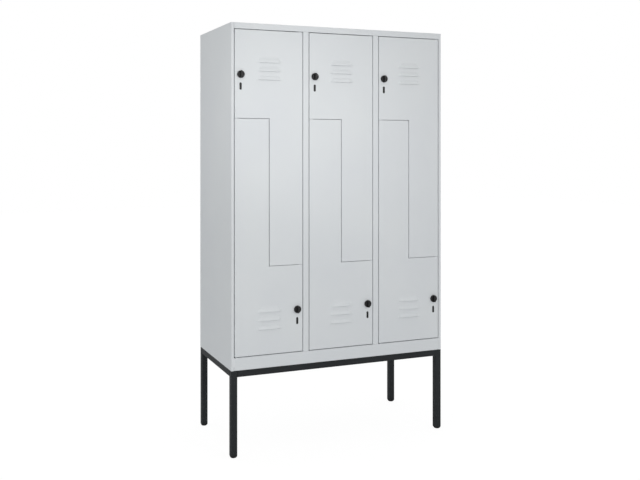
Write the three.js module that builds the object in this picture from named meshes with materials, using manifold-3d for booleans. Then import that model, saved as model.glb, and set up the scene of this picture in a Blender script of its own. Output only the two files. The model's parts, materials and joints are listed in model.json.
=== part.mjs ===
// Z locker: three columns, each with two L-shaped compartments that lock round each other,
// on a square-tube underframe. The x axis runs across the front, z runs up from the floor and
// the doors face towards minus y.

import * as THREE from 'three';
import { mergeVertices } from 'three/addons/utils/BufferGeometryUtils.js';
import Module from 'manifold-3d';

const wasm = await Module();
wasm.setup();

// Driving dimensions, all in millimetres

// Body
const bodyWidth = 1200;
const bodyDepth = 500;
const bodyHeight = 1700;
const sheet = 1;
const bendRadius = 1.5;
const fit = 0.3;
const columnCount = 3;
const columnWidth = bodyWidth / columnCount;
const stileWidth = 14.25;
const dividerFace = 31;
const frameDepth = 22;
const headerHeight = 30;
const apronHeight = 61.9;
const fixingFlange = 15;
const lipWidth = 10;
const insideFront = frameDepth + 2 * bendRadius;
const insideBack = bodyDepth - sheet - fit - 2 * bendRadius;

// Z step of each column, from the body's bottom
const upperStep = 1231.3;
const lowerStep = 501;

// Doors
const doorSheet = 1.2;
const doorDepth = 20;
const doorLip = 12;
const doorEdgeRadius = 1.2;
const doorCornerRadius = 2;
const doorCornerSteps = 1;
const headerGap = 3.2;
const apronGap = 4;
const sideGap = 3.8;
const splitGap = 3.5;
const stepGap = 2;

// Pivots of the doors
const pivotInset = 10;
const pivotBack = 6;
const pinRadius = 3;
const pinHoleRadius = 3.4;
const pinSides = 10;
const pinReach = 7;
const pinRoot = 18;
const lugThickness = 1.2;
const lugHalfWidth = 9;
const lugFront = 1.5;

// Louvers
const louverWidth = 125;
const louverHeight = 20;
const louverProud = 6;
const louverPitch = 42.5;
const louverRows = 3;
const upperLouverBottom = 1422;
const lowerLouverBottom = 188.5;
const louverSlit = 0.3;
const louverFacets = 12;
const louverEndFacets = 2;

// Locks
const lockInset = 48.5;
const upperLockHeight = 1446.5;
const lowerLockHeight = 277.5;
const knobRadius = 18.5;
const knobProud = 18;
const knobBase = 9;
const gripWidth = 10;
const gripWaist = 1.2;
const knobRounding = 2;
const gripBevel = 1;
const knobDish = 1.5;
const knobSides = 20;
const spindleRadius = 5;
const spindleSquare = 7;
const spindleEnd = 30;
const lockHoleRadius = 10;
const slotDrop = 57.5;
const slotWidth = 12;
const slotHeight = 36;
const caseHalfWidth = 18;
const caseAbove = 22;
const caseBelow = 80;
const caseFront = 1.5;
const caseBack = 17;
const caseCornerRadius = 5;
const boreFacets = 10;
const camFront = 24.5;
const camThickness = 3;
const camLength = 45;
const camRootRadius = 10;
const camTipRadius = 6;

// Coat rails and their hooks
const railDrop = 60;
const railWidth = 15;
const railHeight = 30;
const railWall = 1.5;
const railFlange = 2;
const railFlangeMargin = 6;
const hookLength = 18;
const hookWall = 4;
const hookClearance = 0.4;
const hookNeck = 18;
const hookReach = 24;
const hookTipRise = 18;
const hookBendSteps = 2;

// Underframe
const standHeight = 425;
const tube = 32;
const tubeWall = 2;
const tubeCornerRadius = 3;
const tubeInnerRadius = 1;
const plugHeight = 12;
const plugInsert = 30;
const plugRounding = 10;
const plugSteps = 4;

// Facets
const bendSteps = 2;
const arcSteps = 3;
const bevelSteps = 1;
const cornerSteps = 2;
const barSides = 20;

// Cutters reach this far past what they cut, and points closer than the tolerance are one
const overshoot = 1;
const weldTolerance = 1e-4;

// Finishes
const bodyGrey = { color: 0xd3d6d8, roughness: 0.5, metalness: 0.1 };
const innerGrey = { color: 0xcdd0d2, roughness: 0.55, metalness: 0.1 };
const frameBlack = { color: 0x212528, roughness: 0.55, metalness: 0.2 };
const plasticBlack = { color: 0x1c1d1f, roughness: 0.45, metalness: 0 };
const plugBlack = { color: 0x17181a, roughness: 0.7, metalness: 0 };
const zincSteel = { color: 0xb9bcc0, roughness: 0.35, metalness: 0.9 };

// Solids

function solidFrom(geometry) {
  const plain = geometry.clone();
  plain.deleteAttribute('normal');
  plain.deleteAttribute('uv');
  const merged = mergeVertices(plain, weldTolerance);
  const vertProperties = new Float32Array(merged.attributes.position.array);
  const triVerts = new Uint32Array(merged.index.array);
  return new wasm.Manifold(new wasm.Mesh({ numProp: 3, vertProperties, triVerts }));
}

function geometryFrom(solid) {
  const mesh = solid.getMesh();
  const geometry = new THREE.BufferGeometry();
  geometry.setAttribute('position', new THREE.BufferAttribute(new Float32Array(mesh.vertProperties), 3));
  geometry.setIndex(new THREE.BufferAttribute(new Uint32Array(mesh.triVerts), 1));
  return geometry;
}

function joined(first, ...others) {
  return others.reduce((sum, other) => sum.add(other), first);
}

function cut(first, ...others) {
  return others.reduce((rest, other) => rest.subtract(other), first);
}

// A block between two corners
function block([x0, y0, z0], [x1, y1, z1]) {
  const geometry = new THREE.BoxGeometry(x1 - x0, y1 - y0, z1 - z0);
  geometry.translate((x0 + x1) / 2, (y0 + y1) / 2, (z0 + z1) / 2);
  return solidFrom(geometry);
}

// An outline carried straight out of its own plane, with both rims rounded over by the bevel
function extruded(outline, length, bevel) {
  const geometry = new THREE.ExtrudeGeometry(outline, {
    depth: length - 2 * bevel,
    curveSegments: arcSteps,
    bevelEnabled: bevel > 0,
    bevelThickness: bevel,
    bevelSize: bevel,
    bevelOffset: -bevel,
    bevelSegments: bevelSteps,
  });
  return geometry.translate(0, 0, bevel);
}

// An outline drawn in x and y, carried up from z0 to z1
function raised(outline, z0, z1, bevel = 0) {
  const geometry = extruded(outline, z1 - z0, bevel);
  geometry.translate(0, 0, z0);
  return solidFrom(geometry);
}

// An outline drawn in x and z as seen from the front, carried back from y0 to y1
function carriedBack(outline, y0, y1, bevel = 0) {
  const geometry = extruded(outline, y1 - y0, bevel);
  geometry.rotateX(Math.PI / 2);
  geometry.translate(0, y1, 0);
  return solidFrom(geometry);
}

// An outline drawn in y and z as seen from the right, carried across from x0 to x1
function carriedAcross(outline, x0, x1, bevel = 0) {
  const geometry = extruded(outline, x1 - x0, bevel);
  const across = new THREE.Vector3(1, 0, 0);
  const back = new THREE.Vector3(0, 1, 0);
  const up = new THREE.Vector3(0, 0, 1);
  geometry.applyMatrix4(new THREE.Matrix4().makeBasis(back, up, across));
  geometry.translate(x0, 0, 0);
  return solidFrom(geometry);
}

// A round bar along z
function uprightBar(x, y, z0, z1, radius) {
  const geometry = new THREE.CylinderGeometry(radius, radius, z1 - z0, pinSides);
  geometry.rotateX(Math.PI / 2);
  geometry.translate(x, y, (z0 + z1) / 2);
  return solidFrom(geometry);
}

// A round bar along y
function crossBar(x, z, y0, y1, radius, sides = barSides) {
  const geometry = new THREE.CylinderGeometry(radius, radius, y1 - y0, sides);
  geometry.translate(x, (y0 + y1) / 2, z);
  return solidFrom(geometry);
}

// Outlines

function leftOf(direction) {
  return new THREE.Vector2(-direction.y, direction.x);
}

// The points of an arc that rounds a corner, each with the direction square to the line there
function roundedCorner(before, corner, after, radius, steps) {
  const arriving = corner.clone().sub(before).normalize();
  const leaving = after.clone().sub(corner).normalize();
  const turn = Math.atan2(arriving.cross(leaving), arriving.dot(leaving));
  const side = Math.sign(turn);
  const setback = radius * Math.tan(Math.abs(turn) / 2);
  const start = corner.clone().addScaledVector(arriving, -setback);
  const centre = start.clone().addScaledVector(leftOf(arriving), side * radius);
  const origin = new THREE.Vector2();
  return Array.from({ length: steps + 1 }, (_, step) => {
    const normal = leftOf(arriving).rotateAround(origin, turn * step / steps);
    const point = centre.clone().addScaledVector(normal, -side * radius);
    return { point, normal };
  });
}

// The section of a folded sheet, from the corners of its centre line
function foldedSection(corners, thickness, radius, steps = bendSteps) {
  const line = corners.map(([u, v]) => new THREE.Vector2(u, v));
  const last = line.length - 1;
  const stations = line.flatMap((corner, i) => {
    if (i === 0 || i === last) {
      const ahead = i === 0 ? line[1].clone().sub(corner) : corner.clone().sub(line[i - 1]);
      return [{ point: corner, normal: leftOf(ahead.normalize()) }];
    }
    return roundedCorner(line[i - 1], corner, line[i + 1], radius, steps);
  });
  const offset = (distance) => ({ point, normal }) => point.clone().addScaledVector(normal, distance);
  const leftSide = stations.map(offset(thickness / 2));
  const rightSide = stations.map(offset(-thickness / 2));
  return new THREE.Shape([...leftSide, ...rightSide.reverse()]);
}

// A closed outline with every corner rounded
function roundedOutline(corners, radius, steps) {
  const line = corners.map(([u, v]) => new THREE.Vector2(u, v));
  const count = line.length;
  const points = line.flatMap((corner, i) =>
    roundedCorner(line[(i + count - 1) % count], corner, line[(i + 1) % count], radius, steps)
      .map(({ point }) => point));
  return new THREE.Shape(points);
}

function rectangle(u0, v0, u1, v1) {
  return [[u0, v0], [u1, v0], [u1, v1], [u0, v1]];
}

// A slot with round ends, standing upright
function uprightSlot(x, z, width, height) {
  const radius = width / 2;
  const reach = height / 2 - radius;
  const outline = new THREE.Shape();
  outline.absarc(x, z + reach, radius, 0, Math.PI, false);
  outline.absarc(x, z - reach, radius, Math.PI, 2 * Math.PI, false);
  return outline;
}

// Body

// A side sheet folded round into a front stile, with a flange for the back
function sidePanel(isRight) {
  const half = sheet / 2;
  const stileInner = stileWidth - half;
  const backFlange = bodyDepth - sheet - fit - half;
  const across = (x) => (isRight ? bodyWidth - x : x);
  const section = foldedSection([
    [across(stileInner - lipWidth), frameDepth - half],
    [across(stileInner), frameDepth - half],
    [across(stileInner), half],
    [across(half), half],
    [across(half), backFlange],
    [across(fixingFlange), backFlange],
  ], sheet, bendRadius);
  return raised(section, 0, bodyHeight - sheet - fit);
}

function backPanel() {
  return block([0, bodyDepth - sheet, 0], [bodyWidth, bodyDepth, bodyHeight]);
}

// Clearance holes for the pivots that stand in the header
function pivotHoles(places, z0, z1) {
  return places.map((x) => uprightBar(x, pivotBack, z0, z1, pinHoleRadius));
}

// The roof sheet, folded down into the header and turned in under it
function roofPanel() {
  const half = sheet / 2;
  const top = bodyHeight - half;
  const headerBottom = bodyHeight - headerHeight + half;
  const back = bodyDepth - sheet - fit - half;
  const section = foldedSection([
    [frameDepth - half, headerBottom + lipWidth],
    [frameDepth - half, headerBottom],
    [half, headerBottom],
    [half, top],
    [back, top],
    [back, top - fixingFlange],
  ], sheet, bendRadius);
  const folded = carriedAcross(section, 0, bodyWidth);
  const underRoof = bodyHeight - sheet - fit / 2;
  const low = bodyHeight - 2 * headerHeight;
  const stileCorners = mirroredPair(
    (x0, x1) => block([x0, -overshoot, low], [x1, frameDepth + fit, underRoof]),
    -overshoot, stileWidth + fit);
  const walls = mirroredPair(
    (x0, x1) => block([x0, -overshoot, low], [x1, bodyDepth, underRoof]),
    -overshoot, sheet + fit);
  const backCorners = mirroredPair(
    (x0, x1) => block([x0, insideBack, low], [x1, bodyDepth, underRoof]),
    -overshoot, fixingFlange + fit);
  const sideFlanges = mirroredPair(
    (x0, x1) => block([x0, insideFront, bodyHeight - fixingFlange], [x1, insideBack, bodyHeight - half]),
    sheet + fit, 2 * sheet + fit);
  const holes = pivotHoles(columns.map(upperPivotX), headerBottom - sheet, headerBottom + sheet);
  return cut(joined(cut(folded, ...stileCorners, ...walls, ...backCorners), ...sideFlanges), ...holes);
}

// The floor sheet, folded down into the apron and turned back under it
function floorPanel() {
  const half = sheet / 2;
  const top = apronHeight - half;
  const back = bodyDepth - sheet - fit - half;
  const section = foldedSection([
    [frameDepth - half, half + lipWidth],
    [frameDepth - half, half],
    [half, half],
    [half, top],
    [back, top],
    [back, top - fixingFlange],
  ], sheet, bendRadius);
  const folded = carriedAcross(section, sheet + fit, bodyWidth - sheet - fit);
  const high = apronHeight + overshoot;
  const stileCorners = mirroredPair(
    (x0, x1) => block([x0, -overshoot, -overshoot], [x1, frameDepth + fit, high]),
    -overshoot, stileWidth + fit);
  const backCorners = mirroredPair(
    (x0, x1) => block([x0, insideBack, -overshoot], [x1, bodyDepth, high]),
    -overshoot, fixingFlange + sheet + fit);
  const sideFlanges = mirroredPair(
    (x0, x1) => block([x0, insideFront, apronHeight - fixingFlange], [x1, insideBack, apronHeight - half]),
    sheet + fit, 2 * sheet + fit);
  const holes = pivotHoles(columns.map(lowerPivotX), top - sheet, top + sheet);
  return cut(joined(cut(folded, ...stileCorners, ...backCorners), ...sideFlanges), ...holes);
}

// The same solid at the left wall and, mirrored, at the right wall
function mirroredPair(make, x0, x1) {
  return [make(x0, x1), make(bodyWidth - x1, bodyWidth - x0)];
}

// A dividing wall whose front edge is folded into a hollow post
function dividerPanel(x) {
  const half = sheet / 2;
  const reach = dividerFace / 2 - half;
  const back = bodyDepth - sheet - fit - half;
  const section = foldedSection([
    [x + fixingFlange, back],
    [x, back],
    [x, frameDepth - half],
    [x - reach, frameDepth - half],
    [x - reach, half],
    [x + reach, half],
    [x + reach, frameDepth - half],
    [x + 2 * bendRadius, frameDepth - half],
  ], sheet, bendRadius);
  const roofUnderside = bodyHeight - sheet - fit;
  const headerBottom = bodyHeight - headerHeight - fit;
  const panel = raised(section, apronHeight + fit, roofUnderside);
  const flangeBottom = roofUnderside - fixingFlange;
  const headerNotch = block([x - dividerFace, -overshoot, headerBottom],
    [x + dividerFace, frameDepth + fit, bodyHeight]);
  const flangeNotch = block([x - dividerFace, insideBack, flangeBottom],
    [x + dividerFace, bodyDepth, bodyHeight]);
  return cut(panel, headerNotch, flangeNotch);
}

// One bent sheet makes the upper shelf, the upright wall and the lower shelf of a column,
// with a lug at each end that carries a door's pivot in the gap between the doors
function zPartition(column) {
  const { left, right, wallLeft, wallRight } = column;
  const half = sheet / 2;
  const middle = (left + right) / 2;
  const flangeLeft = wallLeft + fit + half;
  const flangeRight = wallRight - fit - half;
  const section = foldedSection([
    [flangeLeft, upperStep - fixingFlange],
    [flangeLeft, upperStep],
    [middle, upperStep],
    [middle, lowerStep],
    [flangeRight, lowerStep],
    [flangeRight, lowerStep + fixingFlange],
  ], sheet, 2 * bendRadius);
  const folded = carriedBack(section, insideFront, insideBack);
  const lugs = [[lowerPivotX(column), upperStep], [upperPivotX(column), lowerStep]].map(([x, z]) => cut(
    block([x - lugHalfWidth, lugFront, z - lugThickness / 2],
      [x + lugHalfWidth, insideFront + lipWidth, z + lugThickness / 2]),
    uprightBar(x, pivotBack, z - lugThickness, z + lugThickness, pinHoleRadius)));
  return joined(folded, ...lugs);
}

// Doors

function upperPivotX(column) {
  return column.doorRight - pivotInset;
}

function lowerPivotX(column) {
  return column.doorLeft + pivotInset;
}

// The L of an upper door, drawn in by a margin all round
function upperDoorCorners({ left, right, doorLeft, doorRight }, margin) {
  const top = bodyHeight - headerHeight - headerGap - margin;
  const bottom = lowerStep + stepGap / 2 + margin;
  const step = upperStep + stepGap / 2 + margin;
  const inner = (left + right) / 2 + splitGap / 2 + margin;
  return [
    [doorLeft + margin, step],
    [inner, step],
    [inner, bottom],
    [doorRight - margin, bottom],
    [doorRight - margin, top],
    [doorLeft + margin, top],
  ];
}

// The L of a lower door, drawn in by a margin all round
function lowerDoorCorners({ left, right, doorLeft, doorRight }, margin) {
  const bottom = apronHeight + apronGap + margin;
  const top = upperStep - stepGap / 2 - margin;
  const step = lowerStep - stepGap / 2 - margin;
  const inner = (left + right) / 2 - splitGap / 2 - margin;
  return [
    [doorLeft + margin, bottom],
    [doorRight - margin, bottom],
    [doorRight - margin, step],
    [inner, step],
    [inner, top],
    [doorLeft + margin, top],
  ];
}

// An L-shaped pan: a skin with rounded edges, flanges all round and lips turned in at the back
function doorPan(cornersAt) {
  const outlineAt = (margin) => roundedOutline(cornersAt(margin), doorCornerRadius, doorCornerSteps);
  const outside = carriedBack(outlineAt(0), 0, doorDepth, doorEdgeRadius);
  const hollow = carriedBack(outlineAt(doorSheet), doorSheet, doorDepth - doorSheet);
  const window = carriedBack(outlineAt(doorLip), doorDepth - 2 * doorSheet, doorDepth + overshoot);
  return cut(outside, hollow, window);
}

// Half of a flattened capsule: the form that a louver is pressed to, open along its bottom edge
function louverForm(x, z, radius, proud, below) {
  const straight = louverWidth - 2 * louverHeight;
  const geometry = new THREE.CapsuleGeometry(radius, straight, louverEndFacets, louverFacets);
  geometry.rotateZ(Math.PI / 2);
  geometry.scale(1, proud / radius, 1);
  geometry.translate(x, 0, z);
  const keep = block([x - louverWidth, -2 * proud, z - below], [x + louverWidth, 2 * proud, z + 2 * radius]);
  return solidFrom(geometry).intersect(keep);
}

function withLouvers(door, x, bottom) {
  const rows = Array.from({ length: louverRows }, (_, row) => bottom + row * louverPitch);
  const hoods = rows.map((z) => louverForm(x, z, louverHeight, louverProud, 0)
    .intersect(block([x - louverWidth, -2 * louverProud, z],
      [x + louverWidth, doorSheet / 2, z + louverPitch])));
  const hollows = rows.map((z) => louverForm(
    x, z, louverHeight - doorSheet, louverProud - doorSheet, louverSlit));
  return cut(joined(door, ...hoods), ...hollows);
}

// A pivot that stands on a door's edge, with its root inside the pan
function pivotPin(x, z0, z1) {
  return uprightBar(x, pivotBack, z0, z1, pinRadius);
}

function withLockHoles(door, x, z) {
  const slot = uprightSlot(x, z - slotDrop, slotWidth, slotHeight);
  return cut(door,
    crossBar(x, z, -overshoot, doorSheet + overshoot, lockHoleRadius),
    carriedBack(slot, -overshoot, doorSheet + overshoot));
}

function upperDoor(column) {
  const top = bodyHeight - headerHeight - headerGap;
  const bottom = lowerStep + stepGap / 2;
  const x = upperPivotX(column);
  const pan = joined(
    doorPan((margin) => upperDoorCorners(column, margin)),
    pivotPin(x, top - pinRoot, top + pinReach),
    pivotPin(x, lowerStep - lugThickness / 2, bottom + pinRoot));
  const louvered = withLouvers(pan, (column.left + column.right) / 2, upperLouverBottom);
  return withLockHoles(louvered, column.left + lockInset, upperLockHeight);
}

function lowerDoor(column) {
  const top = upperStep - stepGap / 2;
  const bottom = apronHeight + apronGap;
  const x = lowerPivotX(column);
  const pan = joined(
    doorPan((margin) => lowerDoorCorners(column, margin)),
    pivotPin(x, top - pinRoot, upperStep + lugThickness / 2),
    pivotPin(x, bottom - pinReach, bottom + pinRoot));
  const louvered = withLouvers(pan, (column.left + column.right) / 2, lowerLouverBottom);
  return withLockHoles(louvered, column.right - lockInset, lowerLockHeight);
}

// Locks, drawn round their own spindle, which runs back along y from the origin

// A round knob with a dished face and an upright grip, waisted in the middle
function lockKnob() {
  const profile = [
    [0, -fit],
    [knobRadius, -fit],
    [knobRadius, knobRounding - knobBase],
    [knobRadius - knobRounding, -knobBase],
    [knobRadius - 2 * knobRounding, knobDish - knobBase],
    [0, knobDish - knobBase],
  ].map(([radius, y]) => new THREE.Vector2(radius, y));
  const base = solidFrom(new THREE.LatheGeometry(profile.reverse(), knobSides));
  const end = knobRadius - knobRounding / 2;
  const half = gripWidth / 2;
  const plan = new THREE.Shape();
  plan.moveTo(-half, -end);
  plan.quadraticCurveTo(-half + 2 * gripWaist, 0, -half, end);
  plan.lineTo(half, end);
  plan.quadraticCurveTo(half - 2 * gripWaist, 0, half, -end);
  const grip = carriedBack(plan, -knobProud, -knobBase / 2, gripBevel)
    .intersect(crossBar(0, 0, -knobProud - overshoot, 0, end, knobSides));
  const spindle = crossBar(0, 0, -knobBase / 2, caseBack + fit, spindleRadius, boreFacets);
  const halfSquare = spindleSquare / 2;
  const square = block([-halfSquare, caseBack, -halfSquare], [halfSquare, spindleEnd, halfSquare]);
  return joined(base, grip, spindle, square);
}

// The lock's housing behind the skin, with a collar in the round hole and a tongue in the slot
function lockCase() {
  const corners = rectangle(-caseHalfWidth, -caseBelow, caseHalfWidth, caseAbove);
  const outline = roundedOutline(corners, caseCornerRadius, cornerSteps);
  const housing = carriedBack(outline, caseFront, caseBack);
  const collar = crossBar(0, 0, 0, caseFront + overshoot, lockHoleRadius - fit);
  const tongue = carriedBack(
    uprightSlot(0, -slotDrop, slotWidth - 2 * fit, slotHeight - 2 * fit), 0, caseFront + overshoot);
  const bore = crossBar(0, 0, -overshoot, caseBack + overshoot, spindleRadius + fit, boreFacets);
  return cut(joined(housing, collar, tongue), bore);
}

// The latch cam hangs down when the lock is open and turns to behind the post
function lockCam() {
  const reach = camLength - camTipRadius;
  const lean = Math.asin((camRootRadius - camTipRadius) / reach);
  const outline = new THREE.Shape();
  outline.absarc(0, 0, camRootRadius, -lean, Math.PI + lean, false);
  outline.absarc(0, -reach, camTipRadius, Math.PI + lean, 2 * Math.PI - lean, false);
  const plate = carriedBack(outline, camFront, camFront + camThickness);
  const halfHole = spindleSquare / 2 + fit;
  const hole = block([-halfHole, camFront - overshoot, -halfHole],
    [halfHole, camFront + camThickness + overshoot, halfHole]);
  return cut(plate, hole);
}

// Coat rails and hooks

function oval(width, height) {
  return uprightSlot(0, 0, width, height);
}

// An oval tube with a fixing flange at each wall
function coatRail(x0, x1) {
  const ring = oval(railWidth, railHeight);
  ring.holes.push(oval(railWidth - 2 * railWall, railHeight - 2 * railWall));
  const margin = 2 * railFlangeMargin;
  const flange = oval(railWidth + margin, railHeight + margin);
  flange.holes.push(oval(railWidth - 2 * railWall, railHeight - 2 * railWall));
  return joined(
    carriedAcross(ring, x0, x1),
    carriedAcross(flange, x0, x0 + railFlange),
    carriedAcross(flange, x1 - railFlange, x1));
}

// A strap round the rail with a prong to the front and one to the back
function coatHook() {
  const ovalRound = (margin) => oval(railWidth + 2 * margin, railHeight + 2 * margin);
  const strap = ovalRound(hookClearance + hookWall);
  strap.holes.push(ovalRound(hookClearance));
  const strapBottom = -railHeight / 2 - hookClearance - hookWall;
  const half = hookWall / 2;
  const prongs = [-1, 1].map((side) => carriedAcross(foldedSection([
    [0, strapBottom + half],
    [0, strapBottom - hookNeck],
    [side * hookReach, strapBottom - hookNeck],
    [side * hookReach, strapBottom - hookNeck + hookTipRise],
  ], hookWall, 2 * hookWall, hookBendSteps), -hookLength / 2, hookLength / 2));
  return joined(carriedAcross(strap, -hookLength / 2, hookLength / 2), ...prongs);
}

// Underframe

// The outline of the square tube, drawn in by an inset
function squareOutline(inset) {
  const half = tube / 2 - inset;
  const radius = Math.max(tubeCornerRadius - inset, tubeInnerRadius);
  return roundedOutline(rectangle(-half, -half, half, half), radius, cornerSteps);
}

function tubeSection() {
  const ring = squareOutline(0);
  ring.holes.push(squareOutline(tubeWall));
  return ring;
}

function leg() {
  return raised(tubeSection(), plugHeight, standHeight - fit);
}

// Rounded below, with an insert that stands in the leg's tube
function footPlug() {
  const half = tube / 2;
  const side = roundedOutline([
    [-half, 0],
    [half, 0],
    [half, plugHeight + plugRounding],
    [-half, plugHeight + plugRounding],
  ], plugRounding, plugSteps);
  const below = block([-tube, -tube, -overshoot], [tube, tube, plugHeight - fit]);
  const cap = raised(squareOutline(0), -overshoot, plugHeight)
    .intersect(carriedAcross(side, -tube, tube))
    .intersect(carriedBack(side, -tube, tube))
    .intersect(below);
  const insert = raised(squareOutline(tubeWall + fit), plugHeight - 2 * fit, plugHeight + plugInsert);
  return joined(cap, insert);
}

function railAcross(length) {
  return carriedAcross(tubeSection(), -length / 2, length / 2);
}

// Assembly

function named(name, solid, finish, [x, y, z] = [0, 0, 0]) {
  const mesh = new THREE.Mesh(geometryFrom(solid), new THREE.MeshStandardMaterial(finish));
  mesh.name = name;
  mesh.position.set(x, y, z);
  return mesh;
}

const columnNames = ['left', 'middle', 'right'];
const columns = columnNames.map((name, i) => {
  const left = i * columnWidth;
  const right = left + columnWidth;
  const isFirst = i === 0;
  const isLast = i === columnCount - 1;
  return {
    name,
    left,
    right,
    wallLeft: left + (isFirst ? sheet : sheet / 2),
    wallRight: right - (isLast ? sheet : sheet / 2),
    doorLeft: left + (isFirst ? stileWidth : dividerFace / 2) + sideGap,
    doorRight: right - (isLast ? stileWidth : dividerFace / 2) - sideGap,
  };
});

function lockAt(name, x, z) {
  return [
    named(`lock_case_${name}`, lockCase(), plasticBlack, [x, 0, z]),
    named(`lock_knob_${name}`, lockKnob(), plasticBlack, [x, 0, z]),
    named(`lock_cam_${name}`, lockCam(), zincSteel, [x, 0, z]),
  ];
}

function railAt(name, x0, x1, z) {
  const y = bodyDepth / 2;
  return [
    named(`coat_rail_${name}`, coatRail(x0, x1), zincSteel, [0, y, z]),
    named(`coat_hook_${name}`, coatHook(), plasticBlack, [(x0 + x1) / 2, y, z]),
  ];
}

function columnParts(column) {
  const { name, left, right, wallLeft, wallRight } = column;
  const middle = (left + right) / 2;
  const underRoof = bodyHeight - sheet - railDrop;
  const underShelf = upperStep - sheet / 2 - railDrop;
  const wall = middle - sheet / 2;
  return [
    named(`z_partition_${name}`, zPartition(column), innerGrey),
    named(`door_upper_${name}`, upperDoor(column), bodyGrey),
    named(`door_lower_${name}`, lowerDoor(column), bodyGrey),
    ...lockAt(`upper_${name}`, left + lockInset, upperLockHeight),
    ...lockAt(`lower_${name}`, right - lockInset, lowerLockHeight),
    ...railAt(`upper_${name}`, wallLeft + fit, wallRight - fit, underRoof),
    ...railAt(`lower_${name}`, wallLeft + fit, wall - fit, underShelf),
  ];
}

const body = new THREE.Group();
body.add(
  named('side_panel_left', sidePanel(false), bodyGrey),
  named('side_panel_right', sidePanel(true), bodyGrey),
  named('back_panel', backPanel(), bodyGrey),
  named('roof_panel', roofPanel(), bodyGrey),
  named('floor_panel', floorPanel(), bodyGrey),
  named('divider_left', dividerPanel(columnWidth), bodyGrey),
  named('divider_right', dividerPanel(2 * columnWidth), bodyGrey),
);
columns.forEach((column) => body.add(...columnParts(column)));
body.position.set(0, 0, standHeight);

const underframe = new THREE.Group();
const halfTube = tube / 2;
const railHeightAtCentre = standHeight - halfTube - fit;
[['left', halfTube], ['right', bodyWidth - halfTube]].forEach(([side, x]) => {
  [['front', halfTube], ['back', bodyDepth - halfTube]].forEach(([end, y]) => {
    underframe.add(named(`leg_${end}_${side}`, leg(), frameBlack, [x, y, 0]));
    underframe.add(named(`foot_plug_${end}_${side}`, footPlug(), plugBlack, [x, y, 0]));
  });
  const sideRail = named(`underframe_rail_${side}`, railAcross(bodyDepth - 2 * tube - 2 * fit), frameBlack,
    [x, bodyDepth / 2, railHeightAtCentre]);
  sideRail.rotation.z = Math.PI / 2;
  underframe.add(sideRail);
});
[['front', halfTube], ['back', bodyDepth - halfTube]].forEach(([end, y]) => {
  const longRail = railAcross(bodyWidth - 2 * tube - 2 * fit);
  underframe.add(named(`underframe_rail_${end}`, longRail, frameBlack,
    [bodyWidth / 2, y, railHeightAtCentre]));
});

// The origin lies on the floor, midway between the sides and midway between the knobs and the back
const locker = new THREE.Group();
locker.add(body, underframe);
locker.position.set(-bodyWidth / 2, (knobProud - bodyDepth) / 2, 0);

export default locker;
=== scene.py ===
import json
import math
import bpy
import numpy as np
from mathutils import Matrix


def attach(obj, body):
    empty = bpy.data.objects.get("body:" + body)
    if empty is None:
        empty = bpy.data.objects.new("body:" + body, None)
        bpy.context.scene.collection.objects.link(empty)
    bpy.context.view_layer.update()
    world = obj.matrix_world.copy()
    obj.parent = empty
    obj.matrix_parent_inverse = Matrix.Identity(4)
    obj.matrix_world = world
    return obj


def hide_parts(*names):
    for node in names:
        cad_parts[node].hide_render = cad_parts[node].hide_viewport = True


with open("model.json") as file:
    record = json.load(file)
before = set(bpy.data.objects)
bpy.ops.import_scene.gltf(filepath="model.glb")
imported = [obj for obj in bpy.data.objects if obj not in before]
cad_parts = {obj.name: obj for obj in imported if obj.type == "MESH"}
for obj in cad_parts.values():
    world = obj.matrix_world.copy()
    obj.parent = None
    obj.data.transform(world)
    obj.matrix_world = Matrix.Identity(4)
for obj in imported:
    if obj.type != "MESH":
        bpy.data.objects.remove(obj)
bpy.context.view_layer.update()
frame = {"nodes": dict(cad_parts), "record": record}
mm = 0.001
hair = 1e-6              # the difference that rounding may leave between equal lengths
print("stage 1: frame loaded,", len(frame["nodes"]), "nodes")

# Camera, at the photograph's viewing angle: level, with the lens shifted as the picture is framed

cameraLook = {
    "place": (-1.8802, -3.8037, 1.5287),
    "turnDegrees": 20.004,
    "sensor": 36.0,
    "lens": 43.80,
    "shiftX": 0.1335,
    "shiftY": -0.1493,
    "near": 0.05,
    "far": 60.0,
}


def makeCamera(look):
    # Level, looking along y and turned from there towards x
    data = bpy.data.cameras.new("camera")
    data.sensor_width = look["sensor"]
    data.lens = look["lens"]
    data.shift_x = look["shiftX"]
    data.shift_y = look["shiftY"]
    data.clip_start = look["near"]
    data.clip_end = look["far"]
    camera = bpy.data.objects.new("camera", data)
    camera.location = look["place"]
    camera.rotation_euler = (math.pi / 2, 0.0, -math.radians(look["turnDegrees"]))
    bpy.context.scene.collection.objects.link(camera)
    bpy.context.scene.camera = camera


makeCamera(cameraLook)

# Node helpers


def newMaterial(name):
    # A material whose node tree starts empty
    material = bpy.data.materials.new(name)
    material.use_nodes = True
    material.node_tree.nodes.clear()
    return material, material.node_tree.nodes, material.node_tree.links


def addNode(nodes, kind, values=None, **settings):
    # Values go to the node's sockets, by name or number, and settings to the node itself
    node = nodes.new(kind)
    for key, value in settings.items():
        setattr(node, key, value)
    for socket, value in (values or {}).items():
        node.inputs[socket].default_value = value
    return node


def addNoise(nodes, scale, detail, roughness=0.5):
    # Smooth noise with that many cells to the metre, and finer octaves over them
    return addNode(nodes, "ShaderNodeTexNoise", {"Scale": scale, "Detail": detail, "Roughness": roughness})


def addBump(nodes, strength, depth):
    # The shading tilts as on a surface that the height moves by up to the depth, in metres
    return addNode(nodes, "ShaderNodeBump", {"Strength": strength, "Distance": depth})


def grey(value):
    # The same linear value in all three colours
    return (value, value, value, 1.0)


def linear(red, green, blue):
    # A colour written as 0 to 255 is turned to the linear light that the nodes work in
    parts = np.array([red, green, blue]) / 255.0
    light = np.where(parts <= 0.04045, parts / 12.92, ((parts + 0.055) / 1.055) ** 2.4)
    return (*[float(part) for part in light], 1.0)


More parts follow.
